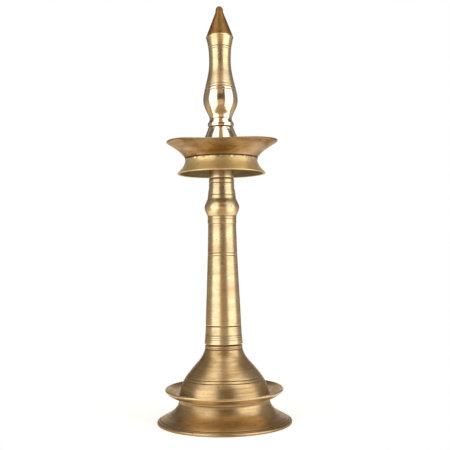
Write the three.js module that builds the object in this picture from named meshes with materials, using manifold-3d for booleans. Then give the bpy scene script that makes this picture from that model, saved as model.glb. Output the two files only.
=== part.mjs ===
// A brass samai, the standing oil lamp of western India, turned and screwed together from castings.
// Millimetres, +Z up. The origin is the centre of the foot, on the surface that the lamp stands on.
//
// Four assemblies stack on one axis and screw into each other with right-hand threads:
//   base    flared foot, drip saucer, bell, threaded socket
//   column  hollow tapering shaft, foot plug with the lower screw, turned head
//   dish    oil pan, skirt below it, hub with the screw below and a threaded boss above
//   finial  solid turning with its stud
// A thin packing ring lies in each of the three screwed joints.

import * as THREE from "three";
import { mergeVertices } from "three/addons/utils/BufferGeometryUtils.js";
import Module from "manifold-3d";

// ---- how finely round surfaces are faceted
const AROUND = 36; // facets round a turned piece
const THREAD_AROUND = 20; // facets round a screw thread
const ALONG = 4; // straight steps in each curve of an outline

// ---- clearances
const SEAT = 0.1; // between two faces that rest on each other
const FIT = 0.2; // round a plug or spigot, measured on the radius
const THREAD_FIT = 0.25; // between a screw and its socket, measured on the radius

// ---- screw threads: crest radius, pitch, number of turns in mesh
const THREAD_DEPTH = 1.1;
const baseScrew = { radius: 10, pitch: 2.5, turns: 6 };
const dishScrew = { radius: 7, pitch: 2.5, turns: 5 };
const finialScrew = { radius: 6, pitch: 2.5, turns: 5 };
const BLIND_END = 1.5; // free depth past the end of a screw
const screwLength = ({ pitch, turns }) => pitch * turns;

// ---- packing rings
const packingThickness = 0.7;
const packingInset = 0.8; // how far a ring stays back from the edge of its joint
const packingBore = 0.6; // free width round the screw that passes through

// ---- foot: a short drum that flares out to a thin rim
const drumRadius = 41.4;
const drumHeight = 23.6;
const drumBead = { proud: 1, height: 1.8 }; // small step below the saucer
const footFlare = 19.9; // how far the rim stands out from the drum
const footEdge = 2.9; // height of the rim's outer edge
const footFlat = 5; // width of the flat ring that it stands on
const footWall = 2.2;
const footRadius = drumRadius + footFlare;
const beadRadius = drumRadius + drumBead.proud;

// ---- bell
const bellInset = 1.4; // how far the bell's flared foot stands in from the drum's side
const bellHeight = 43.9; // from the saucer to the face of the collar
const bellBend = { inset: 15.2, height: 27.9 }; // where its side turns over towards the collar
const bellWall = 2.2;
const collarHeight = 3.4;
const neckWall = 3.4;
const bellRadius = drumRadius - bellInset;

// ---- drip saucer, held between the drum and the bell
const saucerWidth = 13.8; // from the bell's foot to the rim
const saucerEdge = 3.1;
const saucerRise = 4.6; // rim's top above the trough round the bell
const saucerPlate = 2.4;
const lipDepth = 2; // lip below the plate that locates it in the drum
const saucerRadius = bellRadius + saucerWidth;

// ---- threaded socket in the bell's neck
const socketLength = screwLength(baseScrew) + BLIND_END + 1.5;
const socketShoulder = { proud: 2.45, height: 2.5 };

// ---- column shaft
const shaftLength = 109.7;
const shaftFootRadius = 17.45;
const shaftTopRadius = 12.9;
const shaftBand = { height: 7.8, draws: 0.6, proud: 0.2 }; // foot band, tapering, slightly proud
const shaftChamfer = 0.9;
const shaftWall = 3;
const plugLength = 8;
const collarRadius = shaftFootRadius - 0.35; // the bell's collar, just inside the shaft's edge

// ---- column head: collar, knob, waist and neck, each measured from the radius of the shaft's top
const headCollar = { proud: 0.35, height: 7 };
const knob = { proud: 3.2, below: 8, above: 8 }; // heights below and above its widest ring
const headWaist = { proud: 0.05, height: 6.6 };
const shoulderRise = 3.4;
const neckInset = 1.25;
const neckHeight = 8;
const spigotLength = 12;
const spigotChamfer = { width: 0.4, height: 1 };
const neckRadius = shaftTopRadius - neckInset;

// ---- dish: pan, skirt and hub
const dishWaist = 33.2; // radius of the joint between pan and skirt
const panFlare = 18.1; // how far the pan's rim stands out from the waist
const panHeight = 17.4; // underside of the floor to the top of the rim
const panFloor = 2;
const panWall = 1.9;
const panEdge = 2;
const skirtFlare = 7.4;
const skirtHeight = 13.4;
const skirtEdge = 1.3;
const skirtWall = 1.8;
const hubStem = 17.4; // joint with the column to the underside of the pan
const bossHeight = 27;
const bossFlare = 9.1; // how far the boss widens down to the floor of the pan
const panRadius = dishWaist + panFlare;
const skirtRadius = dishWaist + skirtFlare;

// ---- finial
const finialHeight = 112.8;
const finialFace = 11.85;
const bead = { radius: 12.2, height: 3.4 };
const finialNeck = { radius: 10.3, height: 7.3 };
const bulb = { radius: 16.1, height: 25.1 };
const finialWaist = { radius: 10.05, height: 61.4 };
const arris = { radius: 12.9, height: 83.2 }; // sharp ring where the cone begins
const coneTip = 3.55; // radius where the cone ends in a rounded button
const tipButton = 5.5; // height of that button
const studSocket = 12;
const studShank = 4.8;
const bossTop = finialFace + 0.05;
const bossRadius = bossTop + bossFlare;

// ---- levels, each worked out from the pieces below it
const jointGap = packingThickness + 2 * SEAT;
const saucerSeat = drumHeight + SEAT;
const trough = saucerSeat + saucerPlate;
const bellSeat = trough + SEAT;
const collarTop = bellSeat + bellHeight;
const columnFoot = collarTop + jointGap;
const headFoot = columnFoot + shaftLength + SEAT;
const knobLevel = headFoot + headCollar.height + knob.below;
const headTop =
  knobLevel + knob.above + headWaist.height + shoulderRise + neckHeight;
const hubFoot = headTop + jointGap;
const panBottom = hubFoot + hubStem;
const bossFoot = panBottom + panFloor + SEAT;
const bossFace = bossFoot + bossHeight;
const finialFoot = bossFace + jointGap;

// ---- building blocks

const wasm = await Module();
wasm.setup();

const path = (r, z) => new THREE.Path().moveTo(r, z);

// A piece turned from an outline of (radius, height) points, which closes on itself or ends on the axis.
function turned(outline) {
  const points = outline.getPoints(ALONG);
  const onAxis = points[0].x === 0 && points.at(-1).x === 0;
  if (!onAxis) points.push(points[0].clone());
  const lathe = new THREE.LatheGeometry(points, AROUND).rotateX(Math.PI / 2);
  lathe.deleteAttribute("normal");
  lathe.deleteAttribute("uv");
  return asSolid(lathe);
}

// A geometry as a manifold-3d solid with its faces pointing out.
function asSolid(geometry) {
  const { attributes, index } = mergeVertices(geometry, 1e-4);
  const corners = [];
  for (let i = 0; i < index.count; i += 3) {
    const face = [index.getX(i), index.getX(i + 1), index.getX(i + 2)];
    if (new Set(face).size === 3) corners.push(face);
  }
  const make = (faces) =>
    new wasm.Manifold(
      new wasm.Mesh({
        numProp: 3,
        vertProperties: new Float32Array(attributes.position.array),
        triVerts: new Uint32Array(faces.flat()),
      }),
    );
  const solid = make(corners);
  return solid.volume() > 0
    ? solid
    : make(corners.map(([a, b, c]) => [a, c, b]));
}

function asGeometry(solid) {
  const { numProp, vertProperties, triVerts } = solid.getMesh();
  const positions = new THREE.InterleavedBuffer(vertProperties, numProp);
  const geometry = new THREE.BufferGeometry()
    .setAttribute("position", new THREE.InterleavedBufferAttribute(positions, 3, 0))
    .setIndex(new THREE.BufferAttribute(triVerts, 1))
    .toNonIndexed();
  geometry.computeVertexNormals();
  return geometry;
}

// A right-hand screw between two levels. Every screw's helix passes through height 0 at angle 0,
// so a screw and its socket are always in mesh. Root and crest alternate, two rows to a turn.
function screw({ radius, pitch }, bottom, top, growth = 0) {
  const root = radius - THREAD_DEPTH + growth;
  const crest = radius + growth;
  const firstRow = 2 * Math.floor(bottom / pitch) - 3;
  const lastRow = 2 * Math.ceil(top / pitch) + 2;
  const vertex = (row, i) => {
    const height = pitch * (row / 2 + i / THREAD_AROUND);
    const level = THREE.MathUtils.clamp(height, bottom, top);
    const r = level !== height || row % 2 === 0 ? root : crest;
    const angle = (2 * Math.PI * (i % THREAD_AROUND)) / THREAD_AROUND;
    return [r * Math.cos(angle), r * Math.sin(angle), level];
  };
  const positions = [];
  for (let i = 0; i < THREAD_AROUND; i++) {
    for (let row = firstRow; row < lastRow; row++) {
      const [a, b] = [vertex(row, i), vertex(row, i + 1)];
      const [c, d] = [vertex(row + 1, i), vertex(row + 1, i + 1)];
      positions.push(...a, ...b, ...c, ...b, ...d, ...c);
    }
    positions.push(...vertex(firstRow, i + 1), ...vertex(firstRow, i), 0, 0, bottom);
    positions.push(...vertex(lastRow, i), ...vertex(lastRow, i + 1), 0, 0, top);
  }
  const geometry = new THREE.BufferGeometry().setAttribute(
    "position",
    new THREE.Float32BufferAttribute(positions, 3),
  );
  return asSolid(geometry);
}

// The threaded hole that a screw goes down into from a face.
function threadedHole(spec, face) {
  const depth = screwLength(spec) + BLIND_END;
  return screw(spec, face - depth, face + BLIND_END, THREAD_FIT);
}

// ---- base

// Open underneath. The inside follows the outside at the wall's thickness.
function foot() {
  const waist = drumHeight - drumBead.height - 2;
  const inside = drumRadius - footWall;
  const hollowTop = waist - footWall;
  return turned(
    path(footRadius - footFlat, 0)
      .lineTo(footRadius, 0)
      .lineTo(footRadius, footEdge)
      .bezierCurveTo(
        footRadius - 6.3, footEdge + 4.1,
        drumRadius + 2.2, footEdge + 6.6,
        drumRadius, waist,
      )
      .lineTo(drumRadius, drumHeight - drumBead.height)
      .lineTo(beadRadius, drumHeight - drumBead.height)
      .lineTo(beadRadius, drumHeight)
      .lineTo(inside, drumHeight)
      .lineTo(inside, hollowTop)
      .bezierCurveTo(
        inside + 1.6, footEdge + 4.4,
        footRadius - footFlat - 4.4, 4,
        footRadius - footFlat, 0,
      ),
  );
}

// A flat ring under the bell that turns up to a rim. Its lip locates in the drum.
function saucer() {
  const rim = trough + saucerRise;
  const lip = drumRadius - footWall - FIT;
  const inside = bellRadius - bellWall;
  return turned(
    path(inside, trough)
      .lineTo(inside, saucerSeat - lipDepth)
      .lineTo(lip, saucerSeat - lipDepth)
      .lineTo(lip, saucerSeat)
      .lineTo(beadRadius, saucerSeat)
      .quadraticCurveTo(
        saucerRadius - 4, saucerSeat + 1,
        saucerRadius - 0.8, rim - saucerEdge,
      )
      .lineTo(saucerRadius, rim - saucerEdge + 0.5)
      .lineTo(saucerRadius, rim - 0.7)
      .lineTo(saucerRadius - 0.9, rim)
      .quadraticCurveTo(
        saucerRadius - 6, trough + 0.8,
        bellRadius + 1.8, trough,
      ),
  );
}

// A dome that flares a little at its foot and draws in to a narrow collar.
function bell() {
  const shoulder = collarTop - collarHeight;
  const bend = { r: bellRadius - bellBend.inset, z: bellSeat + bellBend.height };
  const inside = bellRadius - bellWall;
  const bore = collarRadius - neckWall;
  const boreFoot = shoulder - neckWall - 1;
  return turned(
    path(bore, collarTop)
      .lineTo(bore, boreFoot)
      .bezierCurveTo(
        bore + 2.4, boreFoot - 2.4,
        bend.r - bellWall - 3, bend.z + 2.2,
        bend.r - bellWall, bend.z - 1.4,
      )
      .bezierCurveTo(
        bend.r + 13, bend.z - 13.1,
        inside - 0.4, bellSeat + 3.1,
        inside, bellSeat,
      )
      .lineTo(bellRadius, bellSeat)
      .bezierCurveTo(
        bellRadius - 2, bellSeat + 7.9,
        bend.r + 17.8, bend.z - 20,
        bend.r, bend.z,
      )
      .bezierCurveTo(
        bend.r - 4.2, bend.z + 4.2,
        collarRadius + 1.2, shoulder - 4.2,
        collarRadius + 0.3, shoulder - 0.6,
      )
      .lineTo(collarRadius, shoulder)
      .lineTo(collarRadius, collarTop),
  );
}

// A bush brazed into the bell's neck. Its shoulder stops it from pulling through.
function socket() {
  const top = collarTop - SEAT;
  const bottom = top - socketLength;
  const body = collarRadius - neckWall - FIT;
  const shoulder = body + socketShoulder.proud;
  const shoulderTop = bottom + socketShoulder.height;
  const bush = turned(
    path(0, bottom)
      .lineTo(shoulder, bottom)
      .lineTo(shoulder, shoulderTop)
      .lineTo(body, shoulderTop)
      .lineTo(body, top)
      .lineTo(0, top),
  );
  return bush.subtract(
    screw(baseScrew, bottom - BLIND_END, top + BLIND_END, THREAD_FIT),
  );
}

// ---- packing: a thin ring in a screwed joint, round the screw and back from the joint's edge
function packing(jointRadius, { radius }, level) {
  const outer = jointRadius - packingInset;
  const bore = radius + packingBore;
  const bottom = level + SEAT;
  return turned(
    path(bore, bottom)
      .lineTo(outer, bottom)
      .lineTo(outer, bottom + packingThickness)
      .lineTo(bore, bottom + packingThickness),
  );
}

// ---- column

const shaftTop = columnFoot + shaftLength;
const shaftBore = {
  foot: shaftFootRadius - shaftWall,
  top: shaftTopRadius - shaftWall,
};

// Hollow and tapering, a little waisted, with a proud band round its foot.
function shaft() {
  const bandTop = columnFoot + shaftBand.height;
  const band = shaftFootRadius - shaftBand.draws;
  const aboveBand = band - shaftBand.proud;
  return turned(
    path(shaftBore.foot, columnFoot)
      .lineTo(shaftFootRadius - shaftChamfer, columnFoot)
      .lineTo(shaftFootRadius, columnFoot + shaftChamfer)
      .lineTo(band, bandTop)
      .lineTo(aboveBand, bandTop + 0.3)
      .bezierCurveTo(
        aboveBand - 1.1, columnFoot + 0.38 * shaftLength,
        shaftTopRadius + 0.6, columnFoot + 0.68 * shaftLength,
        shaftTopRadius, shaftTop,
      )
      .lineTo(shaftBore.top, shaftTop),
  );
}

// Closes the shaft's foot and carries the screw that goes down into the base.
function footPlug() {
  const taper = THREE.MathUtils.lerp(shaftBore.foot, shaftBore.top, plugLength / shaftLength);
  const body = taper - FIT;
  const plugTop = columnFoot + plugLength;
  const plug = turned(
    path(0, columnFoot)
      .lineTo(body, columnFoot)
      .lineTo(body, plugTop)
      .lineTo(0, plugTop),
  );
  const below = columnFoot - screwLength(baseScrew);
  return plug.add(screw(baseScrew, below, columnFoot + 1));
}

// Solid turning: a spigot down into the shaft, collar, knob, waist, neck, and the dish's threaded hole.
function head() {
  const spigot = shaftBore.top - FIT;
  const collarEnd = headFoot + headCollar.height;
  const waistFoot = knobLevel + knob.above;
  const waistTop = waistFoot + headWaist.height;
  const neckFoot = waistTop + shoulderRise;
  const spigotEnd = headFoot - spigotLength;
  const collar = shaftTopRadius + headCollar.proud;
  const widest = shaftTopRadius + knob.proud;
  const waist = shaftTopRadius + headWaist.proud;
  const blank = turned(
    path(0, spigotEnd)
      .lineTo(spigot - spigotChamfer.width, spigotEnd)
      .lineTo(spigot, spigotEnd + spigotChamfer.height)
      .lineTo(spigot, headFoot)
      .lineTo(collar, headFoot)
      .lineTo(collar, collarEnd)
      .bezierCurveTo(
        collar + 0.8, collarEnd + 2,
        widest - 0.3, knobLevel - 3.2,
        widest, knobLevel,
      )
      .bezierCurveTo(
        widest - 0.2, knobLevel + 3,
        waist + 0.8, waistFoot - 1.8,
        waist + 0.15, waistFoot,
      )
      .lineTo(waist - 0.6, waistTop)
      .lineTo(neckRadius, neckFoot)
      .lineTo(neckRadius, headTop)
      .lineTo(0, headTop),
  );
  return blank.subtract(threadedHole(dishScrew, headTop));
}

// ---- dish

// Oil pan: flat floor with a hole for the hub, and a trumpet-shaped wall.
function pan() {
  const rim = panBottom + panHeight;
  const floorTop = panBottom + panFloor;
  const hole = neckRadius + FIT;
  const inside = dishWaist - panWall;
  return turned(
    path(hole, panBottom)
      .lineTo(dishWaist, panBottom)
      .bezierCurveTo(
        dishWaist + 1.5, panBottom + 5.2,
        panRadius - 9.6, rim - 7.2,
        panRadius - 0.4, rim - panEdge,
      )
      .lineTo(panRadius, rim - panEdge + 0.4)
      .lineTo(panRadius, rim - 0.4)
      .lineTo(panRadius - 0.5, rim)
      .bezierCurveTo(
        panRadius - 10.2, rim - 5.6,
        inside + 1.5, floorTop + 5.2,
        inside, floorTop,
      )
      .lineTo(hole, floorTop),
  );
}

// Flared ring brazed under the pan. It hides the joint and throws drips clear of the column.
function skirt() {
  const top = panBottom - SEAT;
  const rim = top - skirtHeight;
  const inside = dishWaist - skirtWall;
  return turned(
    path(dishWaist, top)
      .bezierCurveTo(
        dishWaist + 0.6, top - 6,
        skirtRadius - 3.4, rim + 4.4,
        skirtRadius, rim + skirtEdge,
      )
      .lineTo(skirtRadius, rim)
      .lineTo(skirtRadius - skirtWall, rim)
      .bezierCurveTo(
        skirtRadius - skirtWall - 3.4, rim + 3.6,
        inside + 0.5, top - 6,
        inside, top,
      ),
  );
}

// Turned hub: the screw at its foot, a plain stem, and above the pan's floor a tall boss that
// keeps the finial's joint above the oil.
function hub() {
  const blank = turned(
    path(0, hubFoot)
      .lineTo(neckRadius, hubFoot)
      .lineTo(neckRadius, bossFoot)
      .lineTo(bossRadius, bossFoot)
      .bezierCurveTo(
        bossRadius - 0.6, bossFoot + 0.35 * bossHeight,
        bossTop + 2.1, bossFace - 0.28 * bossHeight,
        bossTop, bossFace,
      )
      .lineTo(0, bossFace),
  );
  return blank
    .add(screw(dishScrew, hubFoot - screwLength(dishScrew), hubFoot + 1))
    .subtract(threadedHole(finialScrew, bossFace));
}

// ---- finial

// Solid turning with a hole in its foot for the stud.
function finial() {
  const at = (height) => finialFoot + height;
  const holeRadius = studShank + FIT;
  return turned(
    path(0, at(studSocket))
      .lineTo(holeRadius, at(studSocket))
      .lineTo(holeRadius, at(0))
      .lineTo(finialFace, at(0))
      .lineTo(bead.radius, at(bead.height - 0.8))
      .bezierCurveTo(
        bead.radius, at(bead.height + 0.6),
        finialNeck.radius, at(finialNeck.height - 2),
        finialNeck.radius, at(finialNeck.height),
      )
      .bezierCurveTo(
        finialNeck.radius + 0.2, at(finialNeck.height + 4.3),
        bulb.radius, at(bulb.height - 7.7),
        bulb.radius, at(bulb.height),
      )
      .bezierCurveTo(
        bulb.radius, at(bulb.height + 9.3),
        finialWaist.radius, at(finialWaist.height - 15.4),
        finialWaist.radius, at(finialWaist.height),
      )
      .bezierCurveTo(
        finialWaist.radius, at(finialWaist.height + 6.6),
        arris.radius - 2.4, at(arris.height - 6.4),
        arris.radius, at(arris.height),
      )
      .lineTo(coneTip, at(finialHeight - tipButton))
      .bezierCurveTo(
        coneTip, at(finialHeight - 2.6),
        coneTip - 0.45, at(finialHeight),
        0, at(finialHeight),
      ),
  );
}

// Screw below, plain shank above that is fixed in the finial.
function stud() {
  const shankFoot = finialFoot - 1;
  const shankTop = finialFoot + studSocket - BLIND_END;
  const shank = turned(
    path(0, shankFoot)
      .lineTo(studShank, shankFoot)
      .lineTo(studShank, shankTop)
      .lineTo(0, shankTop),
  );
  const below = finialFoot - screwLength(finialScrew);
  return shank.add(screw(finialScrew, below, finialFoot - SEAT));
}

// ---- assembly

const finish = {
  paleBrass: { color: 0xc9a468, roughness: 0.3, metalness: 1 },
  agedBrass: { color: 0x9a7a4a, roughness: 0.42, metalness: 1 },
  fibre: { color: 0x6b4a35, roughness: 0.9, metalness: 0 },
};

const samai = new THREE.Group();

function place(name, solid, look) {
  const mesh = new THREE.Mesh(
    asGeometry(solid),
    new THREE.MeshStandardMaterial(look),
  );
  mesh.name = name;
  samai.add(mesh);
}

place("base_foot", foot(), finish.agedBrass);
place("base_saucer", saucer(), finish.agedBrass);
place("base_bell", bell(), finish.agedBrass);
place("base_socket", socket(), finish.agedBrass);
place("base_packing", packing(collarRadius, baseScrew, collarTop), finish.fibre);
place("column_shaft", shaft(), finish.paleBrass);
place("column_foot_plug", footPlug(), finish.paleBrass);
place("column_head", head(), finish.paleBrass);
place("dish_packing", packing(neckRadius, dishScrew, headTop), finish.fibre);
place("dish_hub", hub(), finish.paleBrass);
place("dish_pan", pan(), finish.agedBrass);
place("dish_skirt", skirt(), finish.agedBrass);
place("finial_packing", packing(bossTop, finialScrew, bossFace), finish.fibre);
place("finial", finial(), finish.paleBrass);
place("finial_stud", stud(), finish.paleBrass);

export default samai;
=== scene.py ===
import math

import bpy
import numpy as np
from bpy.props import FloatProperty, IntProperty, PointerProperty, StringProperty
from mathutils import Matrix, Vector


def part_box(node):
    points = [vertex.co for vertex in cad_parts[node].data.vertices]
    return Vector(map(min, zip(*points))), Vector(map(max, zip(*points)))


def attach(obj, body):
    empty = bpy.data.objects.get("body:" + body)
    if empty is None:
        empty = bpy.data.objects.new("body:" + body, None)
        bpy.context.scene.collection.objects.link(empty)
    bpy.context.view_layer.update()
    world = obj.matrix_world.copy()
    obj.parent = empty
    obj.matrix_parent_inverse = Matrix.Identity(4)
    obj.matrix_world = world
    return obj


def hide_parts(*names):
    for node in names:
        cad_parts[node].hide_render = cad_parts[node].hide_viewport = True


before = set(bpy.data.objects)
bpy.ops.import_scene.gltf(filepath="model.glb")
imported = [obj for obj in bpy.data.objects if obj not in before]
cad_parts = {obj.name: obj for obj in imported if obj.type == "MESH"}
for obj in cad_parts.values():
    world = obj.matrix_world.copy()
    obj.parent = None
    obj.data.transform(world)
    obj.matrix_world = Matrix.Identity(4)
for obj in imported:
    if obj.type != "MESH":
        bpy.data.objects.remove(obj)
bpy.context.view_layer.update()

bl_info = {
    "name": "Brass samai",
    "version": (1, 0, 0),
    "blender": (4, 5, 0),
    "location": "3D View > Sidebar > Samai",
    "description": "Standing oil lamp in turned brass, built round its packed frame",
    "category": "Object",
}

MM = 0.001
TURN = 2 * math.pi
FRONT = -math.pi / 2  # the side of the lamp that faces the viewer
RUN_OUT = 0.6 * MM  # plain length between the last turn of a screw and the face above it
PACKING_PLAY = 0.6 * MM  # free width between a screw and the packing round it


# ---- sizes and colours that a user would change


def length(name, description, millimetres):
    """A length property, given in millimetres and kept in metres."""
    return FloatProperty(
        name=name, description=description, default=millimetres * MM, unit="LENGTH", precision=5
    )


def hex_colour(name, description, default):
    """A colour as six sRGB hex digits."""
    return StringProperty(name=name, description=description, default=default, maxlen=6)


class SamaiTurning(bpy.types.PropertyGroup):
    """How the lathe leaves the brass."""

    around: IntProperty(
        name="Facets", description="Facets round a turned piece", default=192, min=24
    )
    edge: length("Edge rounding", "Radius that polishing leaves on an edge", 0.35)
    groove_width: length("Groove width", "Width of a scored line", 0.75)
    groove_depth: length("Groove depth", "Depth of a scored line", 0.4)
    thread_depth: length("Thread depth", "Root to crest of every screw thread", 1.1)
    thread_pitch: length("Thread pitch", "Rise of every screw thread in one turn", 2.5)
    thread_fit: length("Thread clearance", "Free space round a screw in its socket", 0.25)
    base_screw: length("Base screw", "Crest radius of the screw into the base", 10)
    dish_screw: length("Dish screw", "Crest radius of the screw below the dish", 7)
    finial_screw: length("Finial screw", "Crest radius of the screw below the finial", 6)
    screw_length: length("Screw length", "Threaded length of the two upper screws", 12.5)
    blind_end: length("Blind end", "Free depth past the end of a screw", 1.5)
    lead: length("Lead", "Chamfer on the end of a screw", 0.9)
    mouth: length("Mouth", "How far the mouth of a threaded hole opens out", 1.3)


class SamaiBase(bpy.types.PropertyGroup):
    """Foot, drip saucer and bell."""

    drum_radius: length("Drum radius", "Upright wall of the foot", 41.4)
    foot_edge: length("Foot edge", "Height of the foot's outer edge", 2.9)
    wall: length("Wall", "Thickness of the castings", 2.2)
    bell_radius: length("Bell radius", "Wall of the bell at its foot", 40.0)
    bell_flare: length("Bell flare", "How far the bell's foot spreads on the saucer", 1.3)
    bend_inset: length("Bend inset", "Foot of the bell to where its side turns over", 15.2)
    bend_height: length("Bend height", "Saucer to where the bell's side turns over", 27.9)
    spring: length("Saucer spring", "How far the saucer's rim stands higher at the back", 0.9)
    collar_radius: length("Collar radius", "Collar at the top of the bell", 17.1)
    collar_height: length("Collar height", "Upright face of the collar", 3.4)


class SamaiColumn(bpy.types.PropertyGroup):
    """Shaft, collar, knob, waist and neck."""

    wall: length("Wall", "Thickness of the hollow shaft", 3.0)
    band: length("Foot band", "Height of the slightly proud band at the foot", 7.8)
    top_radius: length("Top radius", "Shaft where the head sits on it", 12.9)
    neck_radius: length("Neck radius", "Neck below the dish", 11.65)


class SamaiDish(bpy.types.PropertyGroup):
    """Oil pan, skirt and hub."""

    waist: length("Waist radius", "Joint between pan and skirt", 33.2)
    wall: length("Pan wall", "Thickness of the pan", 1.9)
    skirt_wall: length("Skirt wall", "Thickness of the skirt", 1.8)
    dip: length("Dip", "How far the pan's rim sags at the front", 4.0)
    tilt: length("Tilt", "How far the rim stands high on the right and low on the left", 0.1)
    lean: length("Lean", "How far the rim leans to the right", 1.0)
    boss_top: length("Boss top radius", "Face of the boss that the finial stands on", 11.9)


class SamaiFinial(bpy.types.PropertyGroup):
    """Finial: bead, neck, bulb, waist, sharp ring and cone."""

    face: length("Foot radius", "Face that stands on the boss", 11.85)
    bead: length("Bead radius", "Bead above the joint", 12.2)
    neck: length("Neck radius", "Narrowest ring above the bead", 10.3)
    waist: length("Waist radius", "Narrowest ring above the bulb", 10.05)
    arris: length("Arris radius", "Sharp ring where the cone begins", 12.9)
    tip: length("Tip radius", "Rounded button that ends the cone", 3.55)


class SamaiFinish(bpy.types.PropertyGroup):
    """Colours of the brass, clean and tarnished."""

    polished: hex_colour("Polished brass", "Clean metal on the finial", "F9E8D0")
    golden: hex_colour("Golden brass", "Handled metal on the column", "E9D4AB")
    dull: hex_colour("Dull brass", "Aged metal on the base", "E0C597")
    scoured: hex_colour("Scoured brass", "Cleaned metal of the skirt", "F4DFA6")
    smoked: hex_colour("Smoked brass", "Sooted metal of the pan", "C2AA8A")
    # The soot colour also paints shade under the saucer, on the foot's bottom edge and inside the
    # skirt.
    tarnish: hex_colour("Tarnish", "Brown oxide in hollows and smears", "8C6832")
    soot_and_shade: hex_colour("Soot", "Black in grooves and pits", "2A1C0E")
    oxide: hex_colour("Cone oxide", "Matt brown oxide on the cone", "8E6C38")
    rust: hex_colour("Red oxide", "Reddish clouds on the cone", "7C4F27")
    fibre: hex_colour("Fibre", "Packing of oiled fibre", "9A7060")


class SamaiStudio(bpy.types.PropertyGroup):
    """Floor, lights and camera."""

    distance: length("Camera distance", "Camera to the lamp's axis", 716.3)
    height: length("Camera height", "Camera above the floor", 152.4)
    side: length("Camera side", "Camera to the right of the lamp's axis", 2.64)
    pitch: FloatProperty(
        name="Camera pitch", description="How far the camera looks up",
        default=math.radians(2.175), subtype="ANGLE",
    )
    roll: FloatProperty(
        name="Camera roll", description="How far the camera leans clockwise",
        default=math.radians(0.775), subtype="ANGLE",
    )
    lens: FloatProperty(
        name="Lens", description="Focal length on a 36 mm sensor, in millimetres",
        default=62.36, min=10,
    )
    table: length("Table radius", "Round white table that the lamp stands on", 150)


class SamaiSizes(bpy.types.PropertyGroup):
    """Everything that the operators read."""

    turning: PointerProperty(type=SamaiTurning, name="Turning")
    base: PointerProperty(type=SamaiBase, name="Base")
    column: PointerProperty(type=SamaiColumn, name="Column")
    dish: PointerProperty(type=SamaiDish, name="Dish")
    finial: PointerProperty(type=SamaiFinial, name="Finial")
    finish: PointerProperty(type=SamaiFinish, name="Finish")
    studio: PointerProperty(type=SamaiStudio, name="Studio")


# ---- turning: an outline and the mesh that it makes


class Outline:
    """Half section of a turned piece: (radius, height, dirt and painted shade, wear, thread) rows
    in metres.
    """

    def __init__(self, r, z):
        self.rows = [[r, z, 0.0, 0.0, 0.0]]

    def line(self, r, z):
        """A straight side to (r, z)."""
        self.rows.append([r, z, 0.0, 0.0, 0.0])
        return self

    def curve(self, r1, z1, r2, z2, r, z, steps=18):
        """A curved side to (r, z), pulled towards (r1, z1) and then (r2, z2)."""
        start = Vector(self.rows[-1][:2])
        pulls = Vector((r1, z1)), Vector((r2, z2)), Vector((r, z))
        for i in range(1, steps + 1):
            t = i / steps
            at = (1 - t) ** 3 * start + 3 * t * (1 - t) ** 2 * pulls[0]
            at += 3 * t * t * (1 - t) * pulls[1] + t**3 * pulls[2]
            self.line(at.x, at.y)
        return self

    def ledge(self, steps=6):
        """Divides the last straight side, so that relief and shading have points to work on."""
        (r0, z0), (r1, z1) = self.rows[-2][:2], self.rows.pop()[:2]
        for i in range(1, steps + 1):
            t = i / steps
            self.line(r0 + t * (r1 - r0), z0 + t * (z1 - z0))
        return self

    def soil_and_shade(self, count, amount):
        """Marks the last rows dark: real dirt in some places, painted shade in others."""
        for row in self.rows[-count:]:
            row[2] = amount
        return self

    def thread(self, root, top, pitch):
        """A threaded side up or down to a height, eight rows to a turn, fading out at both ends."""
        bottom = self.rows[-1][1]
        count = max(2, round(abs(top - bottom) / pitch * 8))
        for i in range(count + 1):
            z = bottom + (top - bottom) * i / count
            fade = min(1.0, min(i, count - i) / 5)
            self.rows.append([root, z, 0.55, 0.0, fade])
        return self

    def groove(self, height, width, depth):
        """Scores a line round the outside at a height."""
        low, high = height - width / 2, height + width / 2
        best = None
        for i in range(len(self.rows) - 1):
            (ra, za), (rb, zb) = self.rows[i][:2], self.rows[i + 1][:2]
            if min(za, zb) <= height <= max(za, zb) and abs(zb - za) > 1e-9:
                r = ra + (rb - ra) * (height - za) / (zb - za)
                if best is None or r > best[0]:
                    best = (r, i, zb > za)
        r, i, rising = best

        def in_the_way(row):
            return low - 0.1 * MM < row[1] < high + 0.1 * MM and abs(row[0] - r) < 3 * width

        first, last = i, i + 1
        while first > 0 and in_the_way(self.rows[first]):
            first -= 1
        while last < len(self.rows) - 1 and in_the_way(self.rows[last]):
            last += 1
        (ra, za), (rb, zb) = self.rows[first][:2], self.rows[last][:2]

        def side(z):
            return ra + (rb - ra) * (z - za) / (zb - za)

        # a round-bottomed score with slightly worn edges
        cut = [[side(low), low, 0.0, 0.3, 0.0]]
        for step, deep in ((-0.2, 0.85), (0.0, 1.0), (0.2, 0.85)):
            z = height + step * width
            cut.append([side(z) - deep * depth, z, 1.0, 0.0, 0.0])
        cut.append([side(high), high, 0.0, 0.3, 0.0])
        self.rows[first + 1 : last] = cut if rising else cut[::-1]
        return self

    def soften(self, radius, closed):
        """Rounds every corner and marks proud ones as worn and hollow ones as dirty."""
        rows, n = self.rows, len(self.rows)
        out = []
        for i, row in enumerate(rows):
            if not closed and i in (0, n - 1):
                out.append(row)
                continue
            here = Vector(row[:2])
            back, ahead = Vector(rows[i - 1][:2]) - here, Vector(rows[(i + 1) % n][:2]) - here
            bend = (-back).angle_signed(ahead, 0.0) if back.length and ahead.length else 0.0
            if abs(bend) < math.radians(17) or row[4] or row[2] == 1.0:
                out.append(row)
                continue
            reach = min(radius, 0.42 * back.length, 0.42 * ahead.length)
            start, end = here + back.normalized() * reach, here + ahead.normalized() * reach
            steps = 2 if abs(bend) < 0.6 else 4
            for k in range(steps + 1):
                t = k / steps
                at = (1 - t) ** 2 * start + 2 * t * (1 - t) * here + t * t * end
                proud = bend < 0
                out.append([at.x, at.y, 0.0 if proud else 0.6, 0.8 if proud else 0.0, 0.0])
        self.rows = out
        return self


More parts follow.
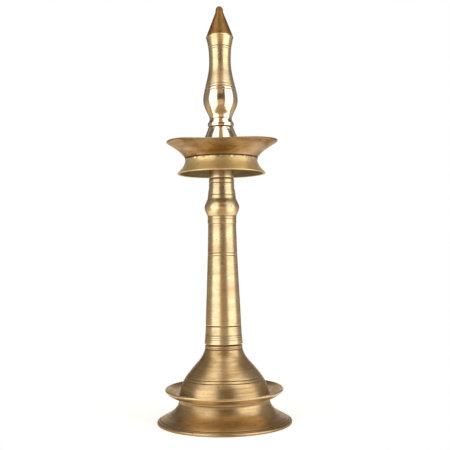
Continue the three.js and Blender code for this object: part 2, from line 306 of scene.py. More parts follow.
def signed_area(rows):
    """Signed area of a closed outline; positive when it runs with its inside on the left."""
    r, z = rows[:, 0], rows[:, 1]
    return 0.5 * float(np.sum(r * np.roll(z, -1) - np.roll(r, -1) * z))


def turn(name, outline, relief=None, edge=None):
    """Turns an outline round the lamp's axis. relief moves the points of the finished mesh."""
    turning = bpy.context.scene.samai.turning
    around = turning.around
    on_axis = outline.rows[0][0] == 0 and outline.rows[-1][0] == 0
    if signed_area(np.array(outline.rows)[:, :2]) < 0:
        outline.rows.reverse()
    outline.soften(turning.edge if edge is None else edge, closed=not on_axis)
    rows = np.array(outline.rows)
    rings = rows[1:-1] if on_axis else rows
    count = len(rings)
    angle = np.arange(around) * TURN / around
    r = np.repeat(rings[:, 0], around)
    z = np.repeat(rings[:, 1], around)
    a = np.tile(angle, count)
    turns = np.mod(z / turning.thread_pitch - a / TURN, 1.0)
    crest = 1 - np.abs(2 * turns - 1)
    r = r + np.repeat(rings[:, 4], around) * turning.thread_depth * crest
    points = np.stack([r * np.cos(a), r * np.sin(a), z], axis=1)
    if relief is not None:
        points = relief(points, a, r, z)
    dirt_and_shade = np.repeat(rings[:, 2], around)
    wear = np.repeat(rings[:, 3], around)
    points = points.tolist()
    faces = []
    spans = count - 1 if on_axis else count
    for i in range(spans):
        low, high = i * around, ((i + 1) % count) * around
        for k in range(around):
            m = (k + 1) % around
            faces.append((low + k, low + m, high + m, high + k))
    if on_axis:
        bottom, top = len(points), len(points) + 1
        points += [[0.0, 0.0, float(rows[0, 1])], [0.0, 0.0, float(rows[-1, 1])]]
        dirt_and_shade = np.append(dirt_and_shade, [0.0, 0.0])
        wear = np.append(wear, [0.0, 0.0])
        last = (count - 1) * around
        for k in range(around):
            m = (k + 1) % around
            faces.append((bottom, m, k))
            faces.append((top, last + k, last + m))
    mesh = bpy.data.meshes.new(name)
    mesh.from_pydata(points, [], faces)
    for label, values in (("dirt_and_shade", dirt_and_shade), ("wear", wear)):
        layer = mesh.attributes.new(label, "FLOAT", "POINT")
        layer.data.foreach_set("value", values.astype(np.float32))
    mesh.shade_smooth()
    mesh.set_sharp_from_angle(angle=math.radians(40))
    piece = bpy.data.objects.new(name, mesh)
    bpy.context.scene.collection.objects.link(piece)
    return piece


def finish_piece(piece, body, nodes, slot, *materials):
    """Gives a piece its materials and its body, and hides the frame's nodes it stands for. The slot
    is not used.
    """
    for material in materials:
        piece.data.materials.append(material)
    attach(piece, body)
    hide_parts(*nodes)


def shade_from(piece, level, index):
    """Gives the faces above a level the material with that index."""
    for face in piece.data.polygons:
        if face.center.z > level:
            face.material_index = index


# ---- materials


def linear(code):
    """Six sRGB hex digits as a linear colour."""
    parts = [int(code[i : i + 2], 16) / 255 for i in (0, 2, 4)]
    bright = [p / 12.92 if p <= 0.04045 else ((p + 0.055) / 1.055) ** 2.4 for p in parts]
    return (*bright, 1.0)


def per_metre(millimetres):
    """Texture scale that gives a pattern this size."""
    return 1 / (millimetres * MM)


def add(tree, kind, settings=(), inputs=()):
    """Adds a node, sets it up, and feeds its inputs with values or with other nodes' outputs."""
    node = tree.nodes.new(kind)
    for key, value in dict(settings).items():
        setattr(node, key, value)
    for key, value in dict(inputs).items():
        if isinstance(value, bpy.types.NodeSocket):
            tree.links.new(value, node.inputs[key])
        else:
            node.inputs[key].default_value = value
    return node


def blank_material(name):
    """A new material with one surface shader."""
    material = bpy.data.materials.new(name)
    material.use_nodes = True
    tree = material.node_tree
    tree.nodes.clear()
    shader = add(tree, "ShaderNodeBsdfPrincipled")
    add(tree, "ShaderNodeOutputMaterial", inputs={"Surface": shader.outputs[0]})
    return material, tree, shader


def brass(
    finish, name, clean, rough, smear, smear_size, rings, line_size, line_depth, pits, metal=1.0
):
    """Cast brass that was turned on a lathe. It gives the eye rings left by the tool, brown smears
    where hands and cloths don't reach, black in grooves and pits, painted shade in the soot
    colour on the rows that the outline marks dark, and bright rubbed edges.
    Sizes and depths are in millimetres; smear, rings and pits are shares."""
    material, tree, shader = blank_material(name)
    clean, stain, soot_and_shade = linear(clean), linear(finish.tarnish), linear(finish.soot_and_shade)
    place = add(tree, "ShaderNodeTexCoord").outputs["Object"]

    # rings left by the tool: noise squeezed along the axis
    squeezed = add(tree, "ShaderNodeMapping", {}, {
        "Vector": place, "Scale": (per_metre(60), per_metre(60), per_metre(line_size)),
    })
    lines = add(tree, "ShaderNodeTexNoise", {}, {
        "Vector": squeezed.outputs[0], "Scale": 1.0, "Detail": 4.0, "Roughness": 0.65,
    }).outputs["Fac"]
    ringed = add(tree, "ShaderNodeMapRange", {}, {
        "Value": lines, "From Min": 0.38, "From Max": 0.62,
    }).outputs[0]

    # smears that run round the piece
    wide, tall = per_metre(smear_size * 1.6), per_metre(smear_size * 0.5)
    banded = add(tree, "ShaderNodeMapping", {}, {"Vector": place, "Scale": (wide, wide, tall)})
    smears = add(tree, "ShaderNodeTexNoise", {}, {
        "Vector": banded.outputs[0], "Scale": 1.0, "Detail": 6.0, "Roughness": 0.62,
        "Distortion": 0.4,
    }).outputs["Fac"]
    stained = add(tree, "ShaderNodeMapRange", {"interpolation_type": "SMOOTHSTEP"}, {
        "Value": smears, "From Min": 0.36, "From Max": 0.68, "To Max": smear,
    }).outputs[0]
    faint = add(tree, "ShaderNodeMath", {"operation": "MULTIPLY_ADD", "use_clamp": True}, {
        0: ringed, 1: rings, 2: stained,
    }).outputs[0]

    # the stain grows towards the foot of the lamp, below 180 mm
    height = add(tree, "ShaderNodeSeparateXYZ", {}, {0: place}).outputs[2]
    low_down = add(tree, "ShaderNodeMapRange", {}, {
        "Value": height, "From Min": 180 * MM, "From Max": 80 * MM, "To Max": 0.26 * smear,
    }).outputs[0]
    amount = add(tree, "ShaderNodeMath", {"operation": "ADD", "use_clamp": True}, {
        0: faint, 1: low_down,
    }).outputs[0]

    # casting pits: a few of the cells have a hole in the middle
    cells = add(tree, "ShaderNodeTexVoronoi", {}, {"Vector": place, "Scale": per_metre(4.5)})
    holes = add(tree, "ShaderNodeMapRange", {}, {
        "Value": cells.outputs["Distance"], "From Min": 0.17, "From Max": 0.09,
    }).outputs[0]
    draw = add(tree, "ShaderNodeSeparateColor", {}, {0: cells.outputs["Color"]}).outputs[0]
    chosen = add(tree, "ShaderNodeMath", {"operation": "GREATER_THAN"}, {
        0: draw, 1: 1 - pits,
    }).outputs[0]
    pitted = add(tree, "ShaderNodeMath", {"operation": "MULTIPLY"}, {
        0: holes, 1: chosen,
    }).outputs[0]

    grain = add(tree, "ShaderNodeTexNoise", {}, {
        "Vector": place, "Scale": per_metre(1.1), "Detail": 3.0, "Roughness": 0.6,
    }).outputs["Fac"]
    speckle = add(tree, "ShaderNodeMapRange", {}, {
        "Value": grain, "From Min": 0.4, "From Max": 0.7, "To Max": 0.16,
    }).outputs[0]
    # This attribute puts real dirt in grooves, threads and hollows, and paints shade under the
    # saucer, on the foot's bottom edge and inside the skirt.
    dirt_and_shade = add(tree, "ShaderNodeAttribute", {"attribute_name": "dirt_and_shade"}).outputs["Fac"]
    wear = add(tree, "ShaderNodeAttribute", {"attribute_name": "wear"}).outputs["Fac"]

    layers = (
        (amount, 1.0, stain), (speckle, 1.0, stain), (dirt_and_shade, 0.85, soot_and_shade), (pitted, 0.8, soot_and_shade),
        (wear, 0.5, clean),
    )
    colour = clean
    for mask, strength, coat in layers:
        share_of = add(tree, "ShaderNodeMath", {"operation": "MULTIPLY"}, {0: mask, 1: strength})
        colour = add(tree, "ShaderNodeMix", {"data_type": "RGBA"}, {
            0: share_of.outputs[0], 6: colour, 7: coat,
        }).outputs[2]
    tree.links.new(colour, shader.inputs["Base Color"])
    shader.inputs["Metallic"].default_value = metal

    dull = rough
    for mask, strength in ((amount, 0.14), (dirt_and_shade, 0.3), (ringed, 0.05)):
        dull = add(tree, "ShaderNodeMath", {"operation": "MULTIPLY_ADD", "use_clamp": True}, {
            0: mask, 1: strength, 2: dull,
        }).outputs[0]
    tree.links.new(dull, shader.inputs["Roughness"])

    relief = 0.0
    for mask, depth in ((lines, line_depth), (grain, line_depth * 0.5), (pitted, -0.06)):
        relief = add(tree, "ShaderNodeMath", {"operation": "MULTIPLY_ADD"}, {
            0: mask, 1: depth, 2: relief,
        }).outputs[0]
    bump = add(tree, "ShaderNodeBump", {}, {
        "Height": relief, "Strength": 1.0, "Distance": 1.0 * MM,
    })
    tree.links.new(bump.outputs[0], shader.inputs["Normal"])
    return material


def brass_oxide(finish):
    """Brass left with its matt brown oxide from the fire, not polished since. It gives the eye a
    flat brown with soft darker clouds, and a little of the metal's gleam."""
    material, tree, shader = blank_material("Brass, fire-oxidised")
    place = add(tree, "ShaderNodeTexCoord").outputs["Object"]
    clouds = add(tree, "ShaderNodeTexNoise", {}, {
        "Vector": place, "Scale": per_metre(4.5), "Detail": 6.0, "Roughness": 0.68,
    }).outputs["Fac"]
    grain = add(tree, "ShaderNodeTexNoise", {}, {
        "Vector": place, "Scale": per_metre(0.9), "Detail": 2.0,
    }).outputs["Fac"]
    darker = add(tree, "ShaderNodeMapRange", {}, {
        "Value": clouds, "From Min": 0.44, "From Max": 0.62, "To Max": 0.75,
    }).outputs[0]
    colour = add(tree, "ShaderNodeMix", {"data_type": "RGBA"}, {
        0: darker, 6: linear(finish.oxide), 7: linear(finish.rust),
    }).outputs[2]
    tree.links.new(colour, shader.inputs["Base Color"])
    shader.inputs["Metallic"].default_value = 0.8
    dull = add(tree, "ShaderNodeMapRange", {}, {
        "Value": grain, "From Min": 0.3, "From Max": 0.7, "To Min": 0.36, "To Max": 0.5,
    }).outputs[0]
    tree.links.new(dull, shader.inputs["Roughness"])
    bump = add(tree, "ShaderNodeBump", {}, {"Height": grain, "Strength": 0.5, "Distance": 0.1 * MM})
    tree.links.new(bump.outputs[0], shader.inputs["Normal"])
    return material


def oiled_fibre(finish):
    """Packing twisted from fibre and soaked in lamp oil. It gives the eye fine threads that run
    round the joint, pinkish brown where dry and nearly black where soaked."""
    material, tree, shader = blank_material("Fibre, twisted and oiled")
    place = add(tree, "ShaderNodeTexCoord").outputs["Object"]
    run = add(tree, "ShaderNodeMapping", {}, {
        "Vector": place, "Scale": (per_metre(6), per_metre(6), per_metre(0.35)),
    })
    strands = add(tree, "ShaderNodeTexNoise", {}, {
        "Vector": run.outputs[0], "Scale": 1.0, "Detail": 5.0, "Roughness": 0.7,
    }).outputs["Fac"]
    soak = add(tree, "ShaderNodeTexNoise", {}, {
        "Vector": place, "Scale": per_metre(9), "Detail": 3.0,
    }).outputs["Fac"]
    browner = add(tree, "ShaderNodeMapRange", {}, {
        "Value": strands, "From Min": 0.35, "From Max": 0.65,
    })
    soaked = add(tree, "ShaderNodeMapRange", {}, {
        "Value": soak, "From Min": 0.47, "From Max": 0.62,
    })
    twist = add(tree, "ShaderNodeMix", {"data_type": "RGBA"}, {
        0: browner.outputs[0], 6: linear(finish.fibre), 7: linear(finish.tarnish),
    }).outputs[2]
    colour = add(tree, "ShaderNodeMix", {"data_type": "RGBA"}, {
        0: soaked.outputs[0], 6: twist, 7: linear(finish.soot_and_shade),
    }).outputs[2]
    tree.links.new(colour, shader.inputs["Base Color"])
    shader.inputs["Roughness"].default_value = 0.75
    bump = add(tree, "ShaderNodeBump", {}, {
        "Height": strands, "Strength": 0.8, "Distance": 0.2 * MM,
    })
    tree.links.new(bump.outputs[0], shader.inputs["Normal"])
    return material


def brass_of(kind):
    """One of the lamp's brasses, made once."""
    finish = bpy.context.scene.samai.finish
    kinds = {
        "polished": dict(
            name="Brass, turned and polished", clean=finish.polished, rough=0.12, smear=0.12,
            smear_size=16, rings=0.04, line_size=1.6, line_depth=0.003, pits=0.05,
        ),
        "golden": dict(
            name="Brass, turned and handled", clean=finish.golden, rough=0.25, smear=0.4,
            smear_size=20, rings=0.05, line_size=1.4, line_depth=0.003, pits=0.16,
        ),
        # scouring leaves a fine matt scratch, hence a little less than full metallic
        "scoured": dict(
            name="Brass, turned and scoured", clean=finish.scoured, rough=0.36, smear=0.3,
            smear_size=16, rings=0.08, line_size=1.2, line_depth=0.008, pits=0.1, metal=0.85,
        ),
        "dull": dict(
            name="Brass, turned and aged", clean=finish.dull, rough=0.26, smear=0.42,
            smear_size=20, rings=0.22, line_size=1.0, line_depth=0.012, pits=0.16,
        ),
        "smoked": dict(
            name="Brass, cast and sooted", clean=finish.smoked, rough=0.34, smear=0.85,
            smear_size=18, rings=0.2, line_size=3.0, line_depth=0.02, pits=0.22,
        ),
    }
    made = bpy.data.materials.get(kinds[kind]["name"])
    return made or brass(finish, **kinds[kind])


# ---- base


def make_foot(sizes):
    """Hollow drum that flares out to a thin rim."""
    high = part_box("base_foot")[1]
    base = sizes.base
    out, drum = high.x, base.drum_radius
    bead = drum + 1.0 * MM
    bead_foot, waist = high.z - 1.8 * MM, high.z - 3.8 * MM
    inside = drum - base.wall
    edge = base.foot_edge
    outline = Outline(out - 5.0 * MM, 0.0)
    outline.line(out - 1.3 * MM, 0.0).ledge(4)
    # Painted shade: the soot colour darkens the foot's bottom edge where it meets the table.
    outline.curve(out, 0.0, out, 0.6 * MM, out, 1.4 * MM, 6).soil_and_shade(6, 0.6)
    outline.curve(out, 2.2 * MM, out - 0.5 * MM, edge - 0.2 * MM, out - 1.3 * MM, edge, 6)
    outline.curve(
        out - 6.8 * MM, edge + 4.2 * MM, drum + 2.2 * MM, edge + 6.6 * MM, drum, waist, 40
    )
    outline.line(drum, bead_foot).line(bead, bead_foot + 0.2 * MM).line(bead, high.z).ledge(3)
    # Painted shade: the soot colour darkens the bead and the top of the drum under the saucer.
    outline.soil_and_shade(5, 0.5)
    outline.line(inside, high.z).line(inside, waist - base.wall)
    outline.curve(
        inside + 1.6 * MM, edge + 4.4 * MM, out - 9.4 * MM, 4.0 * MM, out - 5.0 * MM, 0.0, 24
    )
    outline.groove(edge + 0.95 * MM, 0.5 * MM, 0.35 * MM)
    foot = turn("base_foot_turned", outline)
    finish_piece(foot, "base", ["base_foot"], "aged_brass", brass_of("dull"))


def make_saucer(sizes):
    """Drip saucer: a flat ring round the bell that turns up to a rounded rim."""
    low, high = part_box("base_saucer")
    base = sizes.base
    out, rim = high.x, high.z
    seat = low.z + 2.0 * MM
    trough = seat + 2.4 * MM
    inside = base.bell_radius - base.wall
    lip = base.drum_radius - base.wall - 0.2 * MM
    turn_up = base.drum_radius + 4.0 * MM
    outline = Outline(inside, trough)
    outline.line(inside, low.z).line(lip, low.z).line(lip, seat)
    outline.line(base.drum_radius + 1.0 * MM, seat)
    # Painted shade: the soot colour darkens the saucer's underside.
    outline.line(turn_up, seat + 0.1 * MM).ledge(3).soil_and_shade(4, 0.45)
    outline.curve(
        out - 6.5 * MM, seat + 0.6 * MM, out - 2.6 * MM, seat + 1.9 * MM,
        out - 0.5 * MM, rim - 2.2 * MM, 20,
    )
    outline.curve(
        out + 0.2 * MM, rim - 1.6 * MM, out + 0.1 * MM, rim - 0.1 * MM, out - 0.9 * MM, rim, 8
    )
    outline.curve(
        out - 4.5 * MM, trough + 2.0 * MM, out - 7.0 * MM, trough + 0.4 * MM,
        base.bell_radius + 1.8 * MM, trough, 20,
    )
    outline.ledge(2)

    def sprung(points, a, r, z):
        share_out = np.clip((r - turn_up) / (out - turn_up), 0, 1)
        points[:, 2] += base.spring * (0.7 + np.sin(a)) * share_out
        return points

    saucer = turn("base_saucer_turned", outline, relief=sprung)
    finish_piece(saucer, "base", ["base_saucer"], "aged_brass", brass_of("dull"))


def make_bell(sizes):
    """Dome that draws in to a narrow collar, with two scored lines low on its side."""
    low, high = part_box("base_bell")
    base, turning = sizes.base, sizes.turning
    seat, side = low.z, base.bell_radius
    shoulder = high.z - base.collar_height
    bend_r, bend_z = side - base.bend_inset, seat + base.bend_height
    inside = side - base.wall
    foot = side + base.bell_flare
    bore = base.collar_radius - 3.4 * MM
    bore_foot = shoulder - 4.4 * MM
    collar = base.collar_radius
    outline = Outline(bore, high.z)
    outline.line(bore, bore_foot)
    outline.curve(
        bore + 2.4 * MM, bore_foot - 2.4 * MM, bend_r - base.wall - 3 * MM, bend_z + 2.2 * MM,
        bend_r - base.wall, bend_z - 1.4 * MM,
    )
    outline.curve(
        bend_r + 13 * MM, bend_z - 13.1 * MM, inside - 0.4 * MM, seat + 3.1 * MM, inside, seat
    )
    outline.line(foot, seat)
    outline.curve(
        foot - 3.6 * MM, seat + 7.5 * MM, bend_r + 17.7 * MM, bend_z - 19.8 * MM, bend_r, bend_z, 40
    )
    outline.curve(
        bend_r - 4.2 * MM, bend_z + 4.2 * MM, collar + 1.2 * MM, shoulder - 4.2 * MM,
        collar + 0.3 * MM, shoulder - 0.6 * MM, 24,
    )
    outline.line(collar, shoulder).line(collar, high.z).ledge(4).soil_and_shade(5, 0.4)
    for height in (39.6, 42.0):
        outline.groove(height * MM, turning.groove_width, turning.groove_depth)
    outline.groove(shoulder + 0.4 * MM, 0.6 * MM, 0.5 * MM)
    bell = turn("base_bell_turned", outline)
    finish_piece(bell, "base", ["base_bell"], "aged_brass", brass_of("dull"))


def thread_root(sizes, crest, fit=0.0):
    """Root radius of a thread from its crest."""
    return crest - sizes.turning.thread_depth + fit


def screw(sizes, root, low, top):
    """Starts an outline with a screw, from the middle of its end up to just below a face."""
    turning = sizes.turning
    outline = Outline(0, low).line(root - turning.lead, low).line(root, low + turning.lead)
    return outline.thread(root, top - RUN_OUT, turning.thread_pitch)


def threaded_hole(sizes, outline, root, top, bottom):
    """Runs an outline down a threaded hole, from its mouth to the middle of its bottom."""
    turning = sizes.turning
    outline.line(root + turning.mouth, top).line(root, top - 1 * MM)
    outline.thread(root, bottom, turning.thread_pitch)
    return outline.line(0, bottom)


def make_screws(sizes):
    """Threaded bush in the bell's neck, plug with the lower screw, and the finial's stud."""
    turning = sizes.turning
    low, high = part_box("base_socket")
    body = sizes.base.collar_radius - 3.6 * MM
    shoulder = low.z + 2.5 * MM
    root = thread_root(sizes, turning.base_screw, turning.thread_fit)
    mouth = root + turning.mouth
    bush = Outline(mouth, low.z).line(high.x, low.z).line(high.x, shoulder).line(body, shoulder)
    bush.line(body, high.z).line(mouth, high.z).line(root, high.z - 1 * MM)
    bush.thread(root, low.z + 1 * MM, turning.thread_pitch)
    socket = turn("base_socket_threaded", bush, edge=0.2 * MM)
    finish_piece(socket, "base", ["base_socket"], "aged_brass", brass_of("dull"))

    low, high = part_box("column_foot_plug")
    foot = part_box("column_shaft")[0].z
    root = thread_root(sizes, turning.base_screw)
    outline = screw(sizes, root, low.z, foot)
    outline.line(root, foot).line(high.x, foot).line(high.x, high.z).line(0, high.z)
    plug = turn("column_plug_threaded", outline, edge=0.25 * MM)
    finish_piece(plug, "column", ["column_foot_plug"], "pale_brass", brass_of("golden"))

    low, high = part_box("finial_stud")
    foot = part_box("finial")[0].z
    shank = 4.8 * MM
    outline = screw(sizes, thread_root(sizes, turning.finial_screw), low.z, foot)
    outline.line(shank, foot).line(shank, high.z).line(0, high.z)
    stud = turn("finial_stud_threaded", outline, edge=0.25 * MM)
    finish_piece(stud, "finial", ["finial_stud"], "pale_brass", brass_of("golden"))


def make_packings(sizes):
    """Three rings of fibre, each with a ragged outer edge."""
    turning = sizes.turning
    rings = (
        ("base_packing", turning.base_screw),
        ("dish_packing", turning.dish_screw),
        ("finial_packing", turning.finial_screw),
    )
    fibre = oiled_fibre(sizes.finish)
    for name, through in rings:
        low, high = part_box(name)
        bore = through + PACKING_PLAY
        out, middle = high.x, (low.z + high.z) / 2
        outline = Outline(bore, low.z).line(out - 0.3 * MM, low.z).ledge(3)
        outline.curve(out + 0.1 * MM, low.z, out + 0.1 * MM, high.z, out - 0.3 * MM, high.z, 6)
        outline.line(bore, high.z).ledge(3)

        def ragged(points, a, r, z):
            swell = 0.18 * np.sin(9 * a + 1) + 0.14 * np.sin(23 * a) + 0.1 * np.sin(41 * a + 2)
            edge = np.clip((r - (out - 1.5 * MM)) / (1.5 * MM), 0, 1)
            points[:, :2] *= (1 + swell * MM * edge / r)[:, None]
            thin = 1 - 0.25 * edge * np.abs(np.sin(17 * a))
            points[:, 2] = middle + (points[:, 2] - middle) * thin
            return points

        ring = turn(name + "_twisted", outline, relief=ragged, edge=0.05 * MM)
        finish_piece(ring, name, [name], "packing", fibre)


# ---- column


def make_shaft(sizes):
    """Hollow tapering shaft with a proud band at its foot and scored lines."""
    low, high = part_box("column_shaft")
    column, turning = sizes.column, sizes.turning
    out, top = high.x, column.top_radius
    height = high.z - low.z
    bore_foot, bore_top = out - column.wall, top - column.wall
    band_top = low.z + column.band
    above = out - 0.8 * MM
    outline = Outline(bore_foot, low.z)
    outline.line(out - 0.9 * MM, low.z).line(out, low.z + 0.9 * MM).ledge(3).soil_and_shade(3, 0.8)
    outline.line(out - 0.6 * MM, band_top).ledge(6)
    outline.line(above, band_top + 0.3 * MM)
    outline.curve(
        above - 1.1 * MM, low.z + 0.38 * height, top + 0.6 * MM, low.z + 0.68 * height,
        top, high.z, 60,
    )
    outline.line(bore_top, high.z).line(bore_foot, low.z).ledge(20)
    outline.rows.pop()
    for height in (153.9, 151.5):
        outline.groove(height * MM, turning.groove_width, turning.groove_depth)
    outline.groove(87.8 * MM, 1.8 * MM, 0.3 * MM)  # the wide hollow above the band
    for height in (75.6, 77.6):
        outline.groove(height * MM, 0.5 * MM, 0.25 * MM)
    shaft = turn("column_shaft_turned", outline)
    finish_piece(shaft, "column", ["column_shaft"], "pale_brass", brass_of("golden"))


def make_head(sizes):
    """Collar, knob, waist and neck, with a spigot below and the dish's threaded hole above."""
    low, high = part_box("column_head")
    column, turning = sizes.column, sizes.turning
    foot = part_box("column_shaft")[1].z + 0.1 * MM
    top, neck = column.top_radius, column.neck_radius
    spigot = top - column.wall - 0.2 * MM
    collar, collar_end = top + 0.35 * MM, foot + 7 * MM
    widest, knob = high.x, foot + 15 * MM
    waist, waist_foot = top + 0.05 * MM, foot + 23 * MM
    waist_top, neck_foot = foot + 29.6 * MM, foot + 33 * MM
    root = thread_root(sizes, turning.dish_screw, turning.thread_fit)
    blind = high.z - turning.screw_length - turning.blind_end
    outline = Outline(0, low.z).line(spigot - 0.4 * MM, low.z).line(spigot, low.z + 1 * MM)
    outline.line(spigot, foot).line(collar, foot).line(collar, collar_end).ledge(6)
    outline.curve(
        collar + 0.8 * MM, collar_end + 2 * MM, widest - 0.3 * MM, knob - 3.2 * MM, widest, knob
    )
    outline.curve(
        widest - 0.2 * MM, knob + 3 * MM, waist + 0.8 * MM, waist_foot - 1.8 * MM,
        waist + 0.15 * MM, waist_foot,
    )
    outline.line(waist - 0.6 * MM, waist_top).ledge(5)
    outline.line(neck, neck_foot).line(neck, high.z).ledge(5)
    threaded_hole(sizes, outline, root, high.z, blind)
    outline.groove(foot + 4.2 * MM, 0.5 * MM, 0.2 * MM)
    for level in (26.4 * MM, 37.4 * MM):
        outline.groove(foot + level, turning.groove_width, turning.groove_depth)
    head = turn("column_head_turned", outline)
    finish_piece(head, "column", ["column_head"], "pale_brass", brass_of("golden"))


# ---- dish


def ragged_braze(sizes, points, a, z, joint):
    """Raises the lumps that the braze left along the joint between pan and skirt."""
    lumps = np.sin(13 * a + 0.4) + 0.8 * np.sin(29 * a + 2.1) + 0.7 * np.sin(47 * a)
    near = np.exp(-(((z - joint) / (0.9 * MM)) ** 2))
    outside = np.hypot(points[:, 0], points[:, 1]) > sizes.dish.waist - 0.5 * MM
    points[:, :2] *= (1 + 0.3 * MM * lumps * near * outside / sizes.dish.waist)[:, None]
    return points


def bent_rim(sizes, waist_level, rim_level):
    """How the beaten rim departs from a true circle: it sags at the front, leans and tilts."""
    dish = sizes.dish

    def relief(points, a, r, z):
        share_out = np.clip((z - waist_level) / (rim_level - waist_level), 0, 1.05)
        front = np.clip(np.cos(a - FRONT), 0, 1)
        sag = dish.dip * front**2 * share_out**1.5
        tilt = dish.tilt * np.cos(a) * share_out
        points[:, 2] += tilt - sag + 0.25 * MM * np.sin(5 * a + 0.6) * share_out
        points[:, 0] += dish.lean * share_out
        return ragged_braze(sizes, points, a, z, waist_level)

    return relief


def make_pan(sizes):
    """Oil pan: flat floor and a trumpet-shaped wall with a slightly bent rim."""
    low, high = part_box("dish_pan")
    dish = sizes.dish
    rim, floor = high.z, low.z + 2.0 * MM
    out, waist = high.x, dish.waist
    hole = sizes.column.neck_radius + 0.2 * MM
    inside = waist - dish.wall
    outline = Outline(hole, low.z).line(waist, low.z).ledge(6)
    outline.line(waist + 0.3 * MM, low.z + 1.2 * MM).ledge(4).soil_and_shade(4, 0.95)
    outline.curve(
        waist + 2.0 * MM, low.z + 5.2 * MM, out - 9.6 * MM, rim - 7.2 * MM,
        out - 0.5 * MM, rim - 1.9 * MM, 36,
    )
    outline.curve(
        out + 0.1 * MM, rim - 1.5 * MM, out + 0.1 * MM, rim - 0.2 * MM, out - 0.7 * MM, rim, 8
    )
    outline.soil_and_shade(8, 0.45)
    outline.curve(
        out - 10.2 * MM, rim - 5.6 * MM, inside + 1.5 * MM, floor + 5.2 * MM, inside, floor, 36
    )
    outline.line(hole, floor).ledge(8)
    pan = turn("dish_pan_turned", outline, relief=bent_rim(sizes, low.z, rim))
    finish_piece(pan, "dish", ["dish_pan"], "aged_brass", brass_of("smoked"), brass_of("golden"))
    for face in pan.data.polygons:
        if face.normal.z > 0.1:  # the inside is kept cleaner than the outside
            face.material_index = 1


def make_skirt(sizes):
    """Flared ring under the pan, with the rough braze that joins them."""
    low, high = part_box("dish_skirt")
    dish = sizes.dish
    out, waist = high.x, dish.waist
    inside = waist - dish.skirt_wall
    outline = Outline(waist, high.z).line(waist + 0.05 * MM, high.z - 0.9 * MM).ledge(3)
    outline.curve(
        waist + 0.7 * MM, high.z - 6 * MM, out - 3.4 * MM, low.z + 4.4 * MM,
        out - 0.1 * MM, low.z + 0.8 * MM, 30,
    )
    outline.curve(out + 0.1 * MM, low.z + 0.5 * MM, out, low.z, out - 0.6 * MM, low.z, 6)
    outline.line(out - 1.8 * MM, low.z)
    outline.curve(
        out - 5.2 * MM, low.z + 3.6 * MM, inside + 0.5 * MM, high.z - 6 * MM, inside, high.z, 24
    )
    # Soot inside the skirt, together with painted shade in its hollow.
    outline.soil_and_shade(26, 0.9)  # nobody cleans inside

    def lumps(points, a, r, z):
        return ragged_braze(sizes, points, a, z, high.z)

    skirt = turn("dish_skirt_turned", outline, relief=lumps)
    finish_piece(skirt, "dish", ["dish_skirt"], "aged_brass", brass_of("scoured"))


def make_hub(sizes):
    """Stem through the skirt with the screw at its foot, and the boss that the finial stands on."""
    low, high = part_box("dish_hub")
    turning, dish = sizes.turning, sizes.dish
    neck, boss = sizes.column.neck_radius, high.x
    foot = low.z + turning.screw_length
    boss_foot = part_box("dish_pan")[0].z + 2.1 * MM
    rise = high.z - boss_foot
    root = thread_root(sizes, turning.dish_screw)
    hole = thread_root(sizes, turning.finial_screw, turning.thread_fit)
    blind = high.z - turning.screw_length - turning.blind_end
    outline = screw(sizes, root, low.z, foot)
    outline.line(root, foot).line(neck, foot).line(neck, boss_foot).ledge(8)
    outline.line(boss, boss_foot)
    outline.curve(
        boss - 0.6 * MM, boss_foot + 0.35 * rise, dish.boss_top + 2.1 * MM, high.z - 0.28 * rise,
        dish.boss_top, high.z, 30,
    )
    threaded_hole(sizes, outline, hole, high.z, blind)
    hub = turn("dish_hub_turned", outline)
    finish_piece(hub, "dish", ["dish_hub"], "pale_brass", brass_of("golden"), brass_of("polished"))
    shade_from(hub, boss_foot, 1)


# ---- finial


def make_finial(sizes):
    """Bead, neck, bulb, waist, sharp ring and cone, turned from one rod."""
    low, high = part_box("finial")
    f, turning = sizes.finial, sizes.turning
    bulb, hole, tip = high.x, 5 * MM, high.z

    def up(height):
        return low.z + height * MM

    outline = Outline(0, up(12)).line(hole, up(12)).line(hole, low.z)
    outline.line(f.face, low.z).line(f.bead, up(2.6))
    outline.curve(f.bead, up(4.0), f.neck, up(5.3), f.neck, up(7.3), 12)
    outline.curve(f.neck + 0.2 * MM, up(11.6), bulb, up(17.4), bulb, up(25.1), 30)
    outline.curve(bulb, up(34.4), f.waist, up(46.0), f.waist, up(61.4), 40)
    outline.curve(f.waist, up(68.0), f.arris - 2.4 * MM, up(76.8), f.arris, up(83.2), 30)
    outline.line(f.tip, tip - 5.5 * MM).ledge(16)
    outline.curve(f.tip, tip - 2.6 * MM, f.tip - 0.45 * MM, tip, 0, tip, 16)
    outline.groove(up(74.0), turning.groove_width, turning.groove_depth)
    outline.groove(up(72.1), turning.groove_width * 0.8, turning.groove_depth * 0.7)
    outline.groove(up(38.7), 0.5 * MM, 0.25 * MM)
    outline.groove(up(35.9), turning.groove_width, turning.groove_depth)
    outline.groove(up(33.3), turning.groove_width, turning.groove_depth)
    outline.groove(up(7.1), 0.5 * MM, 0.3 * MM)
    finial = turn("finial_turned", outline)
    finish_piece(
        finial, "finial", ["finial"], "pale_brass",
        brass_of("polished"), brass_of("golden"), brass_oxide(sizes.finish),
    )
    shade_from(finial, up(35.9), 1)
    shade_from(finial, up(85.2), 2)


# ---- stage


def softbox(name, at, target, width, height, radiance, colour):
    """A large soft light that faces a point and isn't seen itself."""
    light = bpy.data.lights.new(name, "AREA")
    light.shape, light.size, light.size_y = "RECTANGLE", width, height
    light.energy, light.color = radiance * math.pi * width * height, colour
    lamp = bpy.data.objects.new(name, light)
    lamp.location = at
    lamp.rotation_euler = (Vector(target) - Vector(at)).to_track_quat("-Z", "Y").to_euler()
    lamp.visible_camera = False
    bpy.context.scene.collection.objects.link(lamp)


